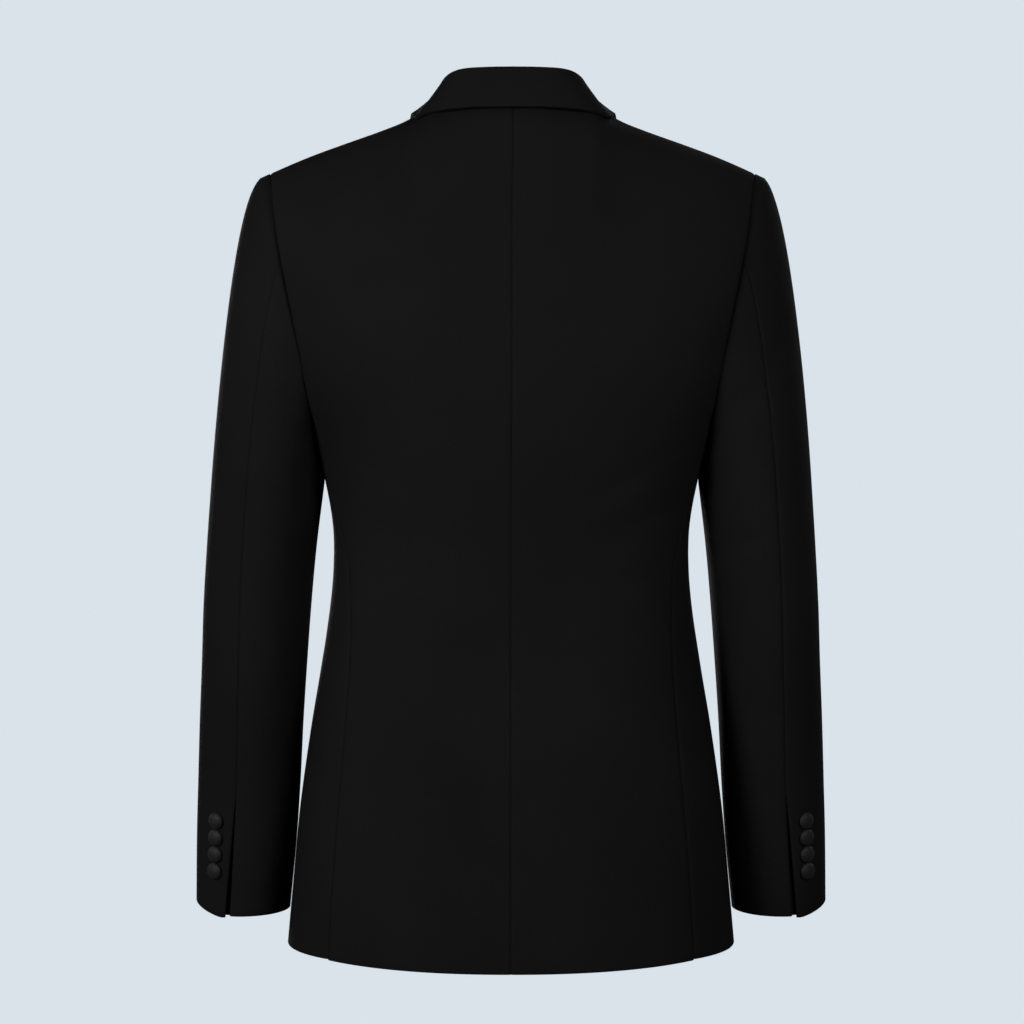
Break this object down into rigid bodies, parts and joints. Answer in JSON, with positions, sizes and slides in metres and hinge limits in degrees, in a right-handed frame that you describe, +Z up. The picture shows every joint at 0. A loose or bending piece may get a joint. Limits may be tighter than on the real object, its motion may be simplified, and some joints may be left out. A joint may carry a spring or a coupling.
{
  "type": "double-breasted tuxedo jacket",
  "caption": "Men's black double-breasted tuxedo jacket, filled out with no wearer, ventless back, peak lapels, covered buttons at front and cuffs.",
  "frame": {"origin": "on the midline, at the height inside the shoulders where the wearer carries the jacket", "axes": "+X towards the wearer's right, +Y the way the wearer faces, +Z up"},
  "size_m": [0.5594, 0.2617, 0.7703],
  "materials": {
    "wool_cloth": "fine black worsted wool, matt with a faint nap",
    "silk_facing": "black silk, soft satin sheen",
    "covered_button": "buttons covered in black ribbed silk"
  },
  "bodies": {
    "root": {"back_left": "wool_cloth", "back_right": "wool_cloth", "side_left": "wool_cloth", "side_right": "wool_cloth", "front_left": "wool_cloth", "front_right": "wool_cloth", "collar": "wool_cloth", "top_sleeve_left": "wool_cloth", "top_sleeve_right": "wool_cloth", "under_sleeve_left": "wool_cloth", "under_sleeve_right": "wool_cloth", "lapel_left": "silk_facing", "lapel_right": "silk_facing", "cuff_button_left_1": "covered_button", "cuff_button_left_2": "covered_button", "cuff_button_left_3": "covered_button", "cuff_button_left_4": "covered_button", "cuff_button_right_1": "covered_button", "cuff_button_right_2": "covered_button", "cuff_button_right_3": "covered_button", "cuff_button_right_4": "covered_button", "front_button_top_left": "covered_button", "front_button_top_right": "covered_button", "front_button_middle_left": "covered_button", "front_button_middle_right": "covered_button", "front_button_bottom_left": "covered_button", "front_button_bottom_right": "covered_button"}
  },
  "joints": []
}
